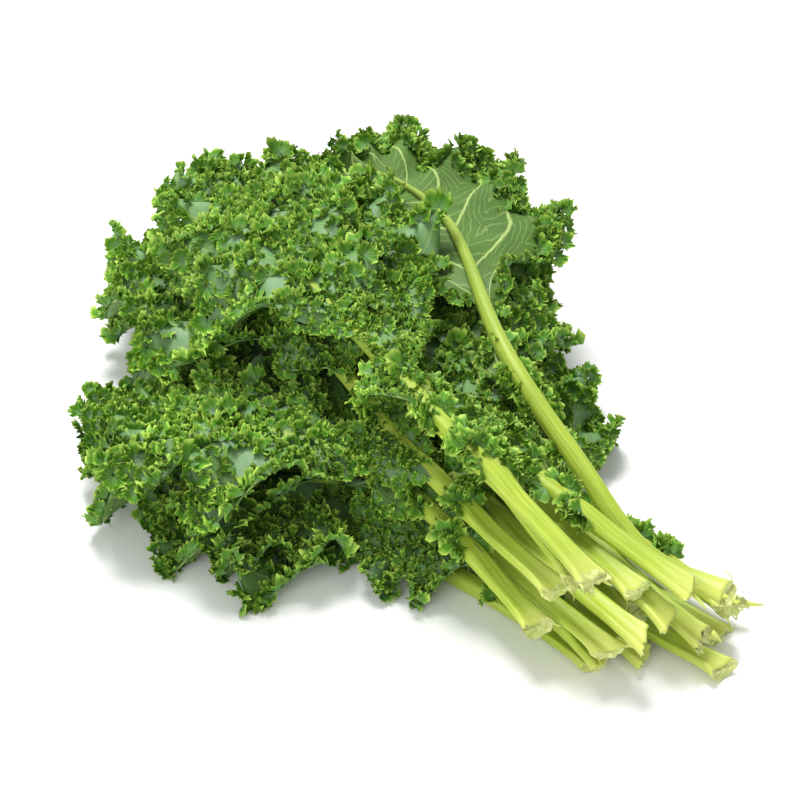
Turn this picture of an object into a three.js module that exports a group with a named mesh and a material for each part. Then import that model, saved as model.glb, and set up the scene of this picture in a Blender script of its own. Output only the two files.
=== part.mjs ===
// A bunch of curly kale lying on a flat surface, as picked.
// Units are millimetres, +Z is up. +X runs from the leaf tips to the cut stalk ends.
// The origin is the centre of the bunch's footprint, on the surface that it lies on.
//
// Each leaf is two solids: a pale stalk, which is the petiole and the midrib in one tapered rod,
// and a green blade that is joined to the upper side of the midrib and is waved along its margin.
// The leaves are laid one after another, and each settles on those below it.
import * as THREE from "three";

// ---------------------------------------------------------------- driving dimensions
const BLADE_THICKNESS = 1.2;
const RIB_GAP = 0.8; // between the blade's underside and the top of its midrib
const RIB_DROP = BLADE_THICKNESS / 2 + RIB_GAP; // from the middle of the sheet to the top of the stalk
const RIB_SIDE = 3; // the blade is kept above the stalk this far past its sides
const STALK_GAP = 0.8; // least height between a stalk and what it lies on
const BLADE_GAP = 2;
const WING_LENGTH = 66; // stretch of petiole below the neck that carries small leaflets
const WING = 4; // width of the blade between the leaflets
const TIP_VEIN_SHARE = 0.2; // the last vein, as a share of the blade's length
const LEAFLETS_START = [0.02, 0.08]; // climbs between which the leaflets begin
const LEAFLETS_END = [0.24, 0.36]; // and between which they give way to the blade
const BLADE_START = [0.24, 0.44];
const NARROWING = 0.55; // climb from which the veins shorten towards the tip
const LEAFLET_PITCH = 32; // radians of the leaflets' wave in the whole climb
const LOBE_PITCH = 28;
const LOBE_SIZE = 0.16; // share by which the lobes lengthen and shorten the veins
const RISE = 0.22; // slope of the sheet beside the midrib
const WAVE_DRIFT = 0.9; // radians by which the ruffles are unevenly spaced
const WAVE_SWELL = 0.35; // share by which they are uneven in height
const DIP = 1.5; // how steeply the sheet may hang past the stalk's side
const VEIN_ANGLE = 78; // degrees between the midrib and the lowest veins
// Sizes of the stalk at its cut end, above the flare, in mid petiole, at the neck and at the rib's end
const STALK_HALF_WIDTHS = [8.2, 5.8, 5.3, 4.4, 0.9];
const STALK_DEPTHS = [9.5, 8.2, 7.6, 6.6, 1.4];
const FLARE_LENGTH = 16;
const PRESSED = 0.6; // a stalk's underside that is this close to the surface lies flat on it
const STALK_SECTIONS = 6; // rings along the petiole, before those of the midrib

// A blade's rows run from the midrib (0) to the margin (1). Each row has its own count of columns,
// as a multiple of the leaf's midrib columns, because the margin carries the waves.
const ROW_SHARES = [0, 0.42, 0.74, 1];
const ROW_MULTIPLES = [1, 2, 4, 4];

// How a leaf settles on the pile
const CELL = 1.5;
const REACH = [320, 260];
const SETTLE_STEPS = 400;
const CLEAR_STEPS = 60;
const SAG = 0.4; // fall in each step
const SHEET_ROOM = 0.3; // kept free over and under a blade's faces, for their slope
const EASE = 0.5; // how far a point moves towards its neighbours' mean in each step
const END_EASE = 0.1; // the same for the stalk's two ends, which only one side holds straight
const RIB_PASSES = 5; // straightening passes of the stalk in each step, as it is stiffer than the blade
const DROOP = 12; // how far a blade's margin may hang below where its midrib would carry it
const FACE_DOWN_REACH = 30; // face down, the midrib rests on the blade as far as this past its sides

// Plan place of the middle of the finished pile's footprint, which the origin moves to
const FOOTPRINT_CENTRE = [-8.36, 5.68];

// The leaves, in the order in which they are laid. path holds the cut end, two bends of the petiole,
// the neck where the blade begins, the middle of the blade and its tip, as plan places and the
// height that each has above a level lie. half is the blade's flat half width, columns the count of
// midrib columns on both sides, leaflets the size of the leaflets on the petiole, wave the height of
// the ruffles, arch how far the sides drop, and roll the turn about the leaf's own length at the neck
// and at the tip, in degrees.
const LEAVES = [
  {
    path: [[172, -14, 0], [134, -19, 0], [95, -27, 0], [46, -42, 0], [8, -79, 0], [-50, -123, 0]],
    half: 47, columns: 16, leaflets: 2, wave: 12, arch: 4, roll: [0, 4],
  },
  {
    path: [[182, 7, 0], [137, 2, 0], [86, -5, 0], [38, -18, 0], [8, -56, 0], [-2, -124, 0]],
    half: 46, columns: 12, leaflets: 2, wave: 12, arch: 6, roll: [0, 0],
  },
  {
    path: [[214, 32, -2], [160, 20, 0], [80, 24, 0], [-6, 30, 0], [-98, 28, 0], [-196, 8, 0]],
    half: 58, columns: 12, leaflets: 2, wave: 13, arch: 6, roll: [0, 0],
  },
  {
    path: [[196, 44, -2], [152, 38, 0], [98, 44, 0], [14, 64, 0], [-64, 94, 0], [-160, 134, 0]],
    half: 52, columns: 12, leaflets: 2, wave: 13, arch: 6, roll: [0, 0],
  },
  {
    path: [[168, 14, 0], [118, 11, 0], [54, 9, 0], [-16, 5, 0], [-122, -6, 4], [-226, -22, 0]],
    half: 58, columns: 16, leaflets: 2, wave: 12, arch: 4, roll: [0, 6],
  },
  {
    path: [[180, -17, 0], [146, -16, 0], [112, -19, 0], [88, -24, 0], [64, -36, 0], [52, -62, 0]],
    half: 32, columns: 12, leaflets: 12, wave: 9, arch: 8, roll: [0, 0],
  },
  {
    path: [[191, 58, 0], [152, 52, 0], [118, 47, 0], [88, 46, 0], [34, 70, 0], [-30, 106, 0]],
    half: 38, columns: 16, leaflets: 3, wave: 12, arch: 8, roll: [0, -12],
  },
  {
    path: [[203, 27, -6], [151, 24, -2], [82, 32, 0], [2, 50, 0], [-90, 72, 0], [-206, 100, 0]],
    half: 56, columns: 12, leaflets: 2, wave: 13, arch: 6, roll: [0, 0],
  },
  {
    path: [[190, 14, -10], [144, 15, -4], [86, 24, 0], [4, 50, 0], [-96, 92, 4], [-202, 134, 0]],
    half: 52, columns: 12, leaflets: 2, wave: 13, arch: 8, roll: [0, -8],
  },
  {
    path: [[184, -17, 0], [139, -21, 0], [88, -23, 0], [36, -32, 0], [-18, -78, 0], [-93, -126, 0]],
    half: 56, columns: 12, leaflets: 2, wave: 13, arch: 8, roll: [0, 10],
  },
  {
    path: [[194, -6, 0], [148, -8, 0], [92, -9, 0], [34, -16, 0], [-34, -58, 4], [-126, -109, 0]],
    half: 58, columns: 12, leaflets: 2, wave: 13, arch: 8, roll: [0, 8],
  },
  {
    path: [[176, 7, -8], [133, 4, -3], [91, 4, 0], [34, 22, 0], [-48, 56, 4], [-134, 94, 0]],
    half: 56, columns: 12, leaflets: 2, wave: 13, arch: 8, roll: [0, 0],
  },
  {
    path: [[190, 24, -12], [142, 13, -8], [106, 5, -3], [70, 9, 0], [2, 42, 6], [-88, 94, 0]],
    half: 54, columns: 16, leaflets: 12, wave: 13, arch: 8, roll: [0, -8],
  },
  {
    path: [[194, 48, -42], [152, 33, -42], [102, 33, -24], [34, 39, 0], [-68, 80, 15], [-190, 102, 24]],
    half: 71, columns: 16, leaflets: 8, wave: 10, arch: -6, roll: [180, 172],
  },
  {
    path: [[157, -36, 0], [116, -35, 0], [81, -36, 0], [45, -42, 0], [-10, -80, 8], [-88, -119, 0]],
    half: 58, columns: 16, leaflets: 18, wave: 13, arch: 10, roll: [0, 10],
  },
  {
    path: [[157, -27, 0], [116, -31, 0], [72, -33, 0], [31, -34, 0], [-80, -28, 10], [-218, -18, 8]],
    half: 62, columns: 16, leaflets: 18, wave: 13, arch: 10, roll: [0, 6],
  },
  {
    path: [[168, -20, -28], [122, -20, -12], [76, -15, -3], [41, -15, 2], [-45, 5, 11], [-146, 44, 8]],
    half: 53, columns: 16, leaflets: 18, wave: 13, arch: 10, roll: [0, -6],
  },
  {
    path: [[176, -20, -30], [122, -26, -14], [88, -32, -4], [50, -33, 2], [-66, -22, 5], [-194, 8, -2]],
    half: 52, columns: 16, leaflets: 18, wave: 13, arch: 16, roll: [0, 0],
  },
];

// ---------------------------------------------------------------- small maths
const fraction = (value) => value - Math.floor(value);
const chance = (leaf, draw) => fraction(Math.sin(12.9898 * draw + 78.233 * leaf) * 43758.5453);
const mix = (a, b, t) => a + (b - a) * t;
const ease = (low, high, value) => {
  const t = Math.min(1, Math.max(0, (value - low) / (high - low)));
  return t * t * (3 - 2 * t);
};
const steps = (values, places, at) => {
  let i = 0;
  while (i < places.length - 2 && at > places[i + 1]) i += 1;
  const share = (at - places[i]) / (places[i + 1] - places[i]);
  return mix(values[i], values[i + 1], Math.min(1, Math.max(0, share)));
};

// ---------------------------------------------------------------- a leaf's centre line
const SPAN_POINTS = 40;

class Spine {
  constructor(path) {
    const curve = new THREE.CatmullRomCurve3(path.map((p) => new THREE.Vector3(...p)), false, "catmullrom");
    this.points = curve.getPoints(SPAN_POINTS * (path.length - 1));
    this.lengths = [0];
    for (let i = 1; i < this.points.length; i += 1)
      this.lengths.push(this.lengths[i - 1] + this.points[i].distanceTo(this.points[i - 1]));
    this.neck = this.lengths[SPAN_POINTS * 3];
    this.bladeLength = this.lengths.at(-1) - this.neck;
  }

  // The place and direction at a distance along the line from the neck; past the ends it runs straight on.
  at(fromNeck) {
    const along = fromNeck + this.neck;
    let i = 0;
    while (i < this.points.length - 2 && along > this.lengths[i + 1]) i += 1;
    const [a, b] = [this.points[i], this.points[i + 1]];
    const share = (along - this.lengths[i]) / (this.lengths[i + 1] - this.lengths[i]);
    return { place: a.clone().lerp(b, share), tangent: b.clone().sub(a).normalize() };
  }
}

// ---------------------------------------------------------------- the shape of one leaf, before it settles
class Leaf {
  constructor(index, facts) {
    Object.assign(this, facts);
    this.index = index;
    this.spine = new Spine(facts.path);
    this.tipVein = this.spine.bladeLength * TIP_VEIN_SHARE;
    this.ribEnd = this.spine.bladeLength - this.tipVein;
    this.phase = (draw) => 2 * Math.PI * chance(index, draw);
  }

  // Place, and the directions across the blade and out of its upper face, at a distance from the neck
  frame(fromNeck) {
    const { place, tangent } = this.spine.at(fromNeck);
    const level = new THREE.Vector3(0, 0, 1).cross(tangent).normalize();
    const rise = tangent.clone().cross(level);
    const turn = THREE.MathUtils.degToRad(mix(...this.roll, ease(0, this.spine.bladeLength, fromNeck)));
    const across = level.clone().multiplyScalar(Math.cos(turn)).addScaledVector(rise, Math.sin(turn));
    const out = rise.clone().multiplyScalar(Math.cos(turn)).addScaledVector(level, -Math.sin(turn));
    return { place, across, out };
  }

  // Where the vein of a column leaves the midrib. climb runs from 0 at the lowest vein to 1 at the tip.
  veinRoot(climb) {
    return mix(-WING_LENGTH, this.ribEnd, Math.sin((Math.PI / 2) * climb));
  }

  veinLength(climb, side) {
    const blade = ease(...BLADE_START, climb) * mix(this.half, this.tipVein, ease(NARROWING, 1, climb));
    const lobes = 1 + LOBE_SIZE * Math.sin(climb * LOBE_PITCH + this.phase(side > 0 ? 4 : 5));
    const row = Math.max(0, Math.sin(climb * LEAFLET_PITCH + side + this.phase(3)));
    const leaflets = WING + this.leaflets * row * ease(...LEAFLETS_START, climb);
    return leaflets * (1 - ease(...LEAFLETS_END, climb)) + blade * lobes;
  }

  // Flat place of a point of the blade. round runs from 0 at the left base, past the tip, to 1 at the
  // right base, and share from 0 at the midrib to 1 at the margin.
  flat(round, share) {
    const climb = 1 - Math.abs(2 * round - 1);
    const side = round < 0.5 ? -1 : 1;
    const length = this.veinLength(climb, side) * share;
    const angle = THREE.MathUtils.degToRad(VEIN_ANGLE * (1 - climb ** 3));
    const along = this.veinRoot(climb) + length * Math.cos(angle);
    return { length, along, aside: side * length * Math.sin(angle) };
  }

  point(round, share) {
    const flat = this.flat(round, share);
    const { place, across, out } = this.frame(flat.along);
    return place.addScaledVector(across, flat.aside).addScaledVector(out, this.height(round, share, flat));
  }

  // Height over the blade's flat: it rises from the midrib, drops towards its sides and is ruffled,
  // but doesn't reach below the midrib where it passes over it
  height(round, share, { length, along, aside }) {
    const rise = RISE * length * (1 - 0.5 * share);
    const drop = this.arch * (length / this.half) ** 2;
    const drift = WAVE_DRIFT * Math.sin(2 * Math.PI * 3 * round + this.phase(1));
    const swing = 2 * Math.PI * this.columns * round + drift;
    const strength = 1 + WAVE_SWELL * Math.sin(2 * Math.PI * 5 * round + this.phase(2));
    const room = Math.min(1, length / share / this.half || 0) ** 0.6;
    const ruffle = this.wave * strength * room * share ** 2 * Math.sin(swing + Math.PI / 4);
    return Math.max(rise - drop + ruffle, -DIP * this.pastRib(along, aside));
  }

  // How far a point is past the side of the stalk
  pastRib(along, aside) {
    return Math.max(0, Math.abs(aside) - this.girth(along).wide - RIB_SIDE);
  }

  // Half width and depth of the stalk at a distance from the neck
  girth(fromNeck) {
    const start = -this.spine.neck;
    const places = [start, start + FLARE_LENGTH, start * 0.5, 0, this.ribEnd];
    return { wide: steps(STALK_HALF_WIDTHS, places, fromNeck), deep: steps(STALK_DEPTHS, places, fromNeck) };
  }
}

// ---------------------------------------------------------------- the leaf as a net of points
// Points 0 and up are the stalk's rings, the last of which are the blade's midrib row, and the other
// rows follow.
class Net {
  constructor(leaf) {
    this.leaf = leaf;
    const { columns } = leaf;
    const from = -leaf.spine.neck;
    this.ringPlaces = [from];
    for (let i = 1; i < STALK_SECTIONS; i += 1)
      this.ringPlaces.push(mix(from + FLARE_LENGTH, -WING_LENGTH, (i - 1) / (STALK_SECTIONS - 1)));
    for (let j = 0; j <= columns / 2; j += 1) this.ringPlaces.push(leaf.veinRoot((2 * j) / columns));
    this.points = this.ringPlaces.map((place) => leaf.frame(place).place);
    const ribRing = (_, i) => STALK_SECTIONS + Math.min(i, columns - i);
    this.rows = [Array.from({ length: columns + 1 }, ribRing)];
    this.hangers = [];
    for (let r = 1; r < ROW_SHARES.length; r += 1) {
      const count = columns * ROW_MULTIPLES[r];
      const bladePoint = (_, i) => this.bladePoint(i / count, ROW_SHARES[r]);
      this.rows.push(Array.from({ length: count + 1 }, bladePoint));
    }
    this.triangles = this.rows.slice(1).flatMap((outer, r) => strip(this.rows[r], outer));
  }

  // Adds a point of the blade, and notes the stretch of midrib beside it, how far below that stretch it
  // may hang and, for a leaf that lies face down, how far above it
  bladePoint(round, share) {
    const { along, aside } = this.leaf.flat(round, share);
    const last = this.ringPlaces.length - 2;
    let ring = 0;
    while (ring < last && along > this.ringPlaces[ring + 1]) ring += 1;
    const [start, end] = [this.ringPlaces[ring], this.ringPlaces[ring + 1]];
    const between = (along - start) / (end - start);
    const past = this.leaf.pastRib(along, aside);
    // The stalk runs straight from ring to ring, and the blade near it follows
    const bow = this.points[ring].clone().lerp(this.points[ring + 1], between)
      .sub(this.leaf.frame(along).place).multiplyScalar(Math.max(0, 1 - past / (2 * RIB_SIDE)));
    const id = this.points.push(this.leaf.point(round, share).add(bow)) - 1;
    const droop = DROOP * Math.min(1, past / this.leaf.half) ** 1.5;
    const lift = past < FACE_DOWN_REACH ? 0 : Infinity;
    this.hangers.push({ id, ring, between: Math.min(1, Math.max(0, between)), droop, lift });
    return id;
  }

  // Pairs of points that hold each other in place while the leaf settles
  links() {
    const found = new Set();
    const add = (a, b) => a !== b && found.add(a < b ? a * 10000 + b : b * 10000 + a);
    for (const [a, b, c] of this.triangles) {
      add(a, b);
      add(b, c);
      add(c, a);
    }
    for (let i = 1; i < this.ringPlaces.length; i += 1) add(i - 1, i);
    return [...found].map((key) => [Math.floor(key / 10000), key % 10000]);
  }
}

// Triangles between two rows: the outer row has as many columns as the inner one, or twice as many
function strip(inner, outer) {
  const made = [];
  const doubled = outer.length > inner.length;
  for (let i = 0; i + 1 < inner.length; i += 1) {
    const [a, b] = [inner[i], inner[i + 1]];
    if (doubled) {
      const [c, d, e] = [outer[2 * i], outer[2 * i + 1], outer[2 * i + 2]];
      made.push([a, d, c], [a, b, d], [b, e, d]);
    } else {
      const [c, d] = [outer[i], outer[i + 1]];
      made.push(...(i % 2 ? [[a, b, d], [a, d, c]] : [[a, b, c], [b, d, c]]));
    }
  }
  return made;
}

// ---------------------------------------------------------------- the pile that the leaves are laid on
class Pile {
  constructor() {
    this.wide = Math.ceil((2 * REACH[0]) / CELL);
    this.tops = new Float64Array(this.wide * Math.ceil((2 * REACH[1]) / CELL)).fill(-Infinity);
  }

  cell(x, y) {
    return Math.floor((y + REACH[1]) / CELL) * this.wide + Math.floor((x + REACH[0]) / CELL);
  }

  add(x, y, top) {
    const c = this.cell(x, y);
    this.tops[c] = Math.max(this.tops[c], top);
  }

  // Highest top within one cell of a place, with a gap above it, or the ground
  under(x, y, gap) {
    const c = this.cell(x, y);
    let top = -gap;
    for (const row of [-this.wide, 0, this.wide])
      for (const column of [-1, 0, 1]) top = Math.max(top, this.tops[c + row + column]);
    return top + gap;
  }
}

// Where a stalk touches: shares of its half width, and of its depth at its top and its underside there
const STALK_FEET = [[-1, -0.4, -0.5], [-0.7, 0, -0.88], [0, 0, -1], [0.7, 0, -0.88], [1, -0.4, -0.5]];

// Spots spread over a leaf, each with the points that it hangs on, their shares, and how far its
// underside and upper side are from the net
function spots(net, spacing) {
  const { leaf, points } = net;
  const made = [];
  const sheet = BLADE_THICKNESS / 2 + SHEET_ROOM;
  const onSheet = { low: -sheet, high: sheet, aside: [0, 0], gap: BLADE_GAP };
  for (const ids of net.triangles) {
    const [a, b, c] = ids.map((i) => points[i]);
    const longest = Math.max(a.distanceTo(b), b.distanceTo(c), c.distanceTo(a));
    const n = Math.max(1, Math.ceil(longest / spacing));
    for (let i = 0; i <= n; i += 1)
      for (let j = 0; i + j <= n; j += 1)
        made.push({ ids, shares: [(n - i - j) / n, i / n, j / n], ...onSheet });
  }
  for (let k = 1; k < net.ringPlaces.length; k += 1) {
    const n = Math.max(1, Math.ceil(points[k].distanceTo(points[k - 1]) / spacing));
    for (let i = 0; i <= n; i += 1) {
      const place = mix(net.ringPlaces[k - 1], net.ringPlaces[k], i / n);
      const { wide, deep } = leaf.girth(place);
      const { across, out } = leaf.frame(place);
      const shares = [1 - i / n, i / n, 0];
      for (const [reach, top, bottom] of STALK_FEET) {
        const side = across.clone().multiplyScalar(reach * wide);
        const middle = side.clone().addScaledVector(out, -RIB_DROP - deep / 2);
        const ends = [top, bottom].map((share) => (deep * share - RIB_DROP) * out.z + side.z);
        made.push({
          ids: [k - 1, k, k], shares, low: Math.min(...ends), high: Math.max(...ends),
          aside: [middle.x, middle.y], gap: STALK_GAP,
        });
      }
    }
  }
  for (const spot of made) {
    const place = new THREE.Vector3();
    spot.ids.forEach((id, i) => place.addScaledVector(points[id], spot.shares[i]));
    Object.assign(spot, { x: place.x + spot.aside[0], y: place.y + spot.aside[1], z: place.z });
  }
  return made;
}

// Moves each ring of the stalk towards the straight line through its neighbours, the ends included
function straighten(places, lifts) {
  const last = places.length - 1;
  const online = (at, a, b) => mix(lifts[a], lifts[b], (places[at] - places[a]) / (places[b] - places[a]));
  for (let k = 1; k < last; k += 1) lifts[k] = mix(lifts[k], online(k, k - 1, k + 1), EASE);
  lifts[0] = mix(lifts[0], online(0, 1, 2), END_EASE);
  lifts[last] = mix(lifts[last], online(last, last - 1, last - 2), END_EASE);
}

// Lowers the leaf on the pile: it starts level above it, sags as a soft sheet and stops where it touches
function settle(net, pile) {
  const count = net.points.length;
  const links = net.links();
  const upsideDown = Math.abs(net.leaf.roll[0]) > 90;
  const feet = spots(net, 3);
  for (const foot of feet) foot.need = pile.under(foot.x, foot.y, foot.gap) - foot.z - foot.low;
  const lifts = new Float64Array(count).fill(Math.max(...feet.map((foot) => foot.need)));
  const degree = new Float64Array(count);
  for (const [a, b] of links) {
    degree[a] += 1;
    degree[b] += 1;
  }
  const clear = (follow) => {
    const push = new Float64Array(count);
    for (const { ids, shares, need } of feet) {
      const [a, b, c] = ids;
      const short = need - lifts[a] * shares[0] - lifts[b] * shares[1] - lifts[c] * shares[2];
      if (short <= 0) continue;
      const spread = shares[0] ** 2 + shares[1] ** 2 + shares[2] ** 2;
      ids.forEach((id, i) => { push[id] = Math.max(push[id], (shares[i] * short) / spread); });
    }
    for (let i = 0; i < count; i += 1) lifts[i] += push[i];
    for (const { id, ring, between, droop, lift } of net.hangers) {
      const rib = mix(lifts[ring], lifts[ring + 1], between);
      if (follow) lifts[id] = Math.max(lifts[id], rib - droop);
      if (upsideDown) for (const end of [ring, ring + 1]) lifts[end] += Math.max(0, lifts[id] - rib - lift);
    }
  };
  for (let step = 0; step < SETTLE_STEPS; step += 1) {
    const sum = new Float64Array(count);
    for (const [a, b] of links) {
      sum[a] += lifts[b];
      sum[b] += lifts[a];
    }
    for (let i = 0; i < count; i += 1) lifts[i] += EASE * (sum[i] / degree[i] - lifts[i]) - SAG;
    for (let pass = 0; pass < RIB_PASSES; pass += 1) straighten(net.ringPlaces, lifts);
    clear(!upsideDown);
  }
  for (let step = 0; step < CLEAR_STEPS; step += 1) {
    straighten(net.ringPlaces, lifts);
    clear(!upsideDown);
  }
  for (let step = 0; step < CLEAR_STEPS; step += 1) clear(true);
  net.points.forEach((point, i) => { point.z += lifts[i]; });
  for (const { x, y, z, high } of spots(net, 1.2)) pile.add(x, y, z + high);
}

// ---------------------------------------------------------------- solids
function solid(points, triangles) {
  const geometry = new THREE.BufferGeometry();
  const numbers = new Float32Array(points.flatMap((p) => [p.x, p.y, p.z]));
  geometry.setAttribute("position", new THREE.BufferAttribute(numbers, 3));
  geometry.setIndex(triangles.flat());
  geometry.computeVertexNormals();
  return geometry;
}

// The blade: the net's sheet given its thickness, with the same triangles on both faces
function bladeSolid(net) {
  const used = [...new Set(net.triangles.flat())];
  const order = new Map(used.map((id, i) => [id, i]));
  const sheet = net.triangles.map((ids) => ids.map((id) => order.get(id)));
  const middle = used.map((id) => net.points[id]);
  const normals = solid(middle, sheet).getAttribute("normal");
  const face = (side) => middle.map((p, i) => new THREE.Vector3().fromBufferAttribute(normals, i)
    .multiplyScalar((side * BLADE_THICKNESS) / 2).add(p));
  const count = middle.length;
  const back = sheet.map(([a, b, c]) => [a + count, c + count, b + count]);
  const [margin, ...inner] = [...net.rows].reverse();
  const starts = inner.map((row) => row[0]).reverse();
  const ends = inner.slice(0, -1).map((row) => row.at(-1));
  const edge = [...starts, ...margin, ...ends].map((id) => order.get(id));
  const rim = edge.flatMap((a, i) => {
    const b = edge[(i + 1) % edge.length];
    return [[a, b, b + count], [a, b + count, a + count]];
  });
  return solid([...face(1), ...face(-1)], [...sheet, ...back, ...rim]);
}

// Outline of the stalk's section, in shares of its half width and depth: grooved on top, flat below
const SECTION = [
  [1, -0.42], [0.66, 0], [0, -0.12], [-0.66, 0], [-1, -0.42],
  [-0.72, -0.84], [-0.3, -1], [0.3, -1], [0.72, -0.84],
];

function stalkSolid(net) {
  const { leaf } = net;
  const n = SECTION.length;
  const rings = net.ringPlaces.map((place, k) => {
    const { wide, deep } = leaf.girth(place);
    const { across, out } = leaf.frame(place);
    return SECTION.map(([u, v]) =>
      net.points[k].clone().addScaledVector(across, u * wide).addScaledVector(out, v * deep - RIB_DROP));
  });
  for (const point of rings.flat()) if (point.z < PRESSED) point.z = 0;
  const triangles = [];
  for (let k = 0; k + 1 < rings.length; k += 1)
    for (let i = 0; i < n; i += 1) {
      const [a, b] = [k * n + i, k * n + ((i + 1) % n)];
      triangles.push([a, b, b + n], [a, b + n, a + n]);
    }
  const end = (rings.length - 1) * n;
  for (let i = 1; i + 1 < n; i += 1) triangles.push([0, i + 1, i], [end, end + i, end + i + 1]);
  return solid(rings.flat(), triangles);
}

// ---------------------------------------------------------------- the bunch
const stalkMaterial = new THREE.MeshStandardMaterial({ color: 0xc3d877, roughness: 0.5, metalness: 0 });
const bladeMaterial = new THREE.MeshStandardMaterial({ color: 0x4f8a2c, roughness: 0.6, metalness: 0 });

const bunch = new THREE.Group();
const pile = new Pile();
LEAVES.forEach((facts, i) => {
  const net = new Net(new Leaf(i + 1, facts));
  settle(net, pile);
  const name = `leaf_${String(i + 1).padStart(2, "0")}`;
  const stalk = new THREE.Mesh(stalkSolid(net), stalkMaterial);
  stalk.name = `${name}_stalk`;
  const blade = new THREE.Mesh(bladeSolid(net), bladeMaterial);
  blade.name = `${name}_blade`;
  bunch.add(stalk, blade);
});
bunch.position.set(-FOOTPRINT_CENTRE[0], -FOOTPRINT_CENTRE[1], 0);

export default bunch;
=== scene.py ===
# Looks for a bunch of curly kale that lies on a flat surface.
# Lengths are worked out in millimetres, as in the part's source, and turned into metres when a mesh is made.
import bisect
import math
import random

import bmesh
import bpy
from mathutils import Matrix, Vector, noise
from mathutils.bvhtree import BVHTree


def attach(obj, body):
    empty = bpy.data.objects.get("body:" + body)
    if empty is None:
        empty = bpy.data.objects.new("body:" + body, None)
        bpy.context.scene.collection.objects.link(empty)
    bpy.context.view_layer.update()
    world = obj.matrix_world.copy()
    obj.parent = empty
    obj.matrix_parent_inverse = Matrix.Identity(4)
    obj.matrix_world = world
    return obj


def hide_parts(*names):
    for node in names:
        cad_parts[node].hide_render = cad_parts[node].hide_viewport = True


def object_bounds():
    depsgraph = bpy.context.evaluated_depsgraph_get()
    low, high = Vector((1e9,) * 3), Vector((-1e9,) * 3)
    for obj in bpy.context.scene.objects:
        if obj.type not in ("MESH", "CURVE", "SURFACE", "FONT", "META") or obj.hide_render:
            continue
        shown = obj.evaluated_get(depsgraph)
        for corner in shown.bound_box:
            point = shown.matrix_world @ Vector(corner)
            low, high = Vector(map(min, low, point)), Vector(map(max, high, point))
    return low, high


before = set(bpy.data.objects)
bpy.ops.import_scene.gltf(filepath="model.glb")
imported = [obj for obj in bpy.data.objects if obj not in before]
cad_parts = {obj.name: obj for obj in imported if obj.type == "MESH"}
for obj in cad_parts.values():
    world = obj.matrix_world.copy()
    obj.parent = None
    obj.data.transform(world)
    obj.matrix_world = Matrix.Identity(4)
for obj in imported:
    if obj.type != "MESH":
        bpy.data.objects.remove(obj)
cad_low, cad_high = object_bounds()

# ---------------- sizes shared with the part's source
MM = 0.001
FOOTPRINT_CENTRE = Vector((-8.36, 5.68, 0))
BLADE_THICKNESS = 1.2
RIB_GAP = 0.8  # between the blade's underside and the top of its midrib
RIB_DROP = BLADE_THICKNESS / 2 + RIB_GAP  # from the middle of the sheet to the top of the stalk
RIB_SIDE = 3  # the blade is kept above the stalk this far past its sides
CREST_SIDE = 0.66  # place of the crests on the stalk's upper side, as a share of its half width
WING_LENGTH = 66  # stretch of petiole below the neck that carries small leaflets
WING = 4  # width of the blade between the leaflets
TIP_VEIN_SHARE = 0.2  # the last vein, as a share of the blade's length
LEAFLETS_START = (0.02, 0.08)  # climbs between which the leaflets begin
LEAFLETS_END = (0.24, 0.36)  # and between which they give way to the blade
BLADE_START = (0.24, 0.44)
NARROWING = 0.55  # climb from which the veins shorten towards the tip
LEAFLET_PITCH = 32  # radians of the leaflets' wave in the whole climb
LOBE_PITCH = 28
LOBE_SIZE = 0.16  # share by which the lobes lengthen and shorten the veins
RISE = 0.22  # slope of the sheet beside the midrib
RISE_FADE = 0.5  # share of it that is lost at the margin
WAVE_START = math.pi / 4
WAVE_DRIFT = 0.9  # radians by which the ruffles are unevenly spaced
WAVE_SWELL = 0.35  # share by which they are uneven in height
DRIFT_TURNS, SWELL_TURNS = 3, 5  # how often each of these comes round the blade
SHORT_VEIN_POWER = 0.6  # how fast the ruffles flatten where the veins are short
DIP = 1.5  # how steeply the sheet may hang past the stalk's side
VEIN_ANGLE = 78  # degrees between the midrib and the lowest veins
VEIN_ANGLE_POWER = 3  # how late towards the tip the veins turn forward
# Sizes of the stalk at its cut end, above the flare, in mid petiole, at the neck and at the rib's end
STALK_HALF_WIDTHS = [8.2, 5.8, 5.3, 4.4, 0.9]
STALK_DEPTHS = [9.5, 8.2, 7.6, 6.6, 1.4]
FLARE_LENGTH = 16
MID_PETIOLE = 0.5
STALK_SECTIONS = 6  # rings along the petiole, before those of the midrib
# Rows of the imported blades, from the midrib (0) to the margin (1), and the columns of each row
ROW_SHARES = [0, 0.42, 0.74, 1]
ROW_MULTIPLES = [1, 2, 4, 4]
SPAN_POINTS = 40  # points of the leaf's line between two knots
NECK_KNOT = 3  # the knot at which the blade begins

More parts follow.
